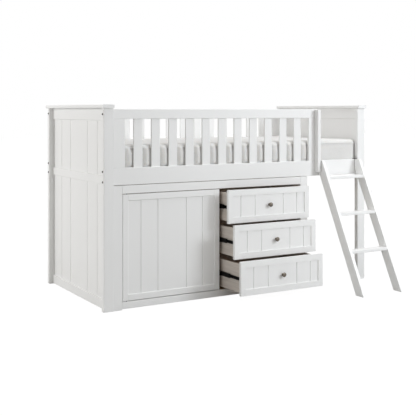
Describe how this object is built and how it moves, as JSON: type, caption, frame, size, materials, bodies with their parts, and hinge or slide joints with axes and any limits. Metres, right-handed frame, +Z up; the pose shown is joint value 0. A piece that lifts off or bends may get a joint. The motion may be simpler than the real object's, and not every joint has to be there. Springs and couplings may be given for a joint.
{
  "type": "low loft bed",
  "caption": "White painted low loft bed with slatted guards, planked ends, a hooked-on ladder and a cabinet with a door and open drawers under the mattress.",
  "frame": {"origin": "on the floor under the middle of the bed's footprint, caps and ladder included", "axes": "+X along the bed from its closed end to the ladder end, +Y from the ladder side to the wall side, +Z up"},
  "size_m": [2.072, 1.499, 1.261],
  "materials": {
    "white_paint": "satin white paint",
    "plain_wood": "plain sanded wood",
    "mattress_cloth": "woven cover",
    "bright_nickel": "satin nickel",
    "dark_steel": "dark zinc",
    "black_steel": "black"
  },
  "bodies": {
    "bed_frame": {"back_guard_rail": "white_paint", "back_guard_slats": "white_paint", "back_guard_stiles": "white_paint", "back_side_rail": "white_paint", "bed_bolts": "dark_steel", "bed_slats": "plain_wood", "bolt_nuts": "dark_steel", "cabinet_back": "plain_wood", "cabinet_base_rail": "white_paint", "cabinet_divider": "plain_wood", "cabinet_floor": "plain_wood", "cabinet_right_side": "white_paint", "cabinet_stiles": "white_paint", "cabinet_top_rail": "white_paint", "door_pivot_pins": "dark_steel", "end_caps": "white_paint", "end_mid_rails": "white_paint", "end_top_rails": "white_paint", "front_guard_rail": "white_paint", "front_guard_slats": "white_paint", "front_guard_stiles": "white_paint", "front_side_rail": "white_paint", "guard_batten": "white_paint", "left_bottom_rail": "white_paint", "left_front_post": "white_paint", "left_lower_panel": "white_paint", "left_rear_post": "white_paint", "left_upper_panel": "white_paint", "mattress": "mattress_cloth", "outer_slides": "black_steel", "right_front_post": "white_paint", "right_panel": "white_paint", "right_rear_post": "white_paint", "slat_ledgers": "plain_wood"},
    "door": {"door_hinge_stile": "white_paint", "door_free_stile": "white_paint", "door_rails": "white_paint", "door_panel": "white_paint"},
    "ladder": {"ladder_stringers": "white_paint", "ladder_treads": "white_paint", "ladder_hooks": "black_steel"},
    "top_drawer": {"top_drawer_front": "white_paint", "top_drawer_box": "plain_wood", "top_drawer_bottom": "plain_wood", "top_drawer_knob": "bright_nickel", "top_drawer_inner_slides": "black_steel"},
    "top_drawer_carriage": {"top_drawer_middle_slides": "black_steel"},
    "middle_drawer": {"middle_drawer_front": "white_paint", "middle_drawer_box": "plain_wood", "middle_drawer_bottom": "plain_wood", "middle_drawer_knob": "bright_nickel", "middle_drawer_inner_slides": "black_steel"},
    "middle_drawer_carriage": {"middle_drawer_middle_slides": "black_steel"},
    "bottom_drawer": {"bottom_drawer_front": "white_paint", "bottom_drawer_box": "plain_wood", "bottom_drawer_bottom": "plain_wood", "bottom_drawer_knob": "bright_nickel", "bottom_drawer_inner_slides": "black_steel"},
    "bottom_drawer_carriage": {"bottom_drawer_middle_slides": "black_steel"}
  },
  "joints": [
    {"name": "door_hinge", "type": "hinge", "parent": "bed_frame", "child": "door", "pos_m": [-0.867, -0.2555, 0.381], "axis": [0, 0, -1], "range_deg": [0, 100]},
    {"name": "ladder_lift", "type": "slide", "parent": "bed_frame", "child": "ladder", "axis": [0, 0, 1], "range_m": [0, 0.05]},
    {"name": "top_drawer_slide", "type": "slide", "parent": "bed_frame", "child": "top_drawer", "axis": [0, -1, 0], "range_m": [-0.103, 0.247]},
    {"name": "top_drawer_carriage_slide", "type": "slide", "parent": "bed_frame", "child": "top_drawer_carriage", "axis": [0, -1, 0], "range_m": [-0.0515, 0.1235]},
    {"name": "middle_drawer_slide", "type": "slide", "parent": "bed_frame", "child": "middle_drawer", "axis": [0, -1, 0], "range_m": [-0.179, 0.171]},
    {"name": "middle_drawer_carriage_slide", "type": "slide", "parent": "bed_frame", "child": "middle_drawer_carriage", "axis": [0, -1, 0], "range_m": [-0.0895, 0.0855]},
    {"name": "bottom_drawer_slide", "type": "slide", "parent": "bed_frame", "child": "bottom_drawer", "axis": [0, -1, 0], "range_m": [-0.255, 0.095]},
    {"name": "bottom_drawer_carriage_slide", "type": "slide", "parent": "bed_frame", "child": "bottom_drawer_carriage", "axis": [0, -1, 0], "range_m": [-0.1275, 0.0475]}
  ],
  "couplings": [
    {"joint": "top_drawer_carriage_slide", "follows": "top_drawer_slide", "ratio": 0.5},
    {"joint": "middle_drawer_carriage_slide", "follows": "middle_drawer_slide", "ratio": 0.5},
    {"joint": "bottom_drawer_carriage_slide", "follows": "bottom_drawer_slide", "ratio": 0.5}
  ]
}
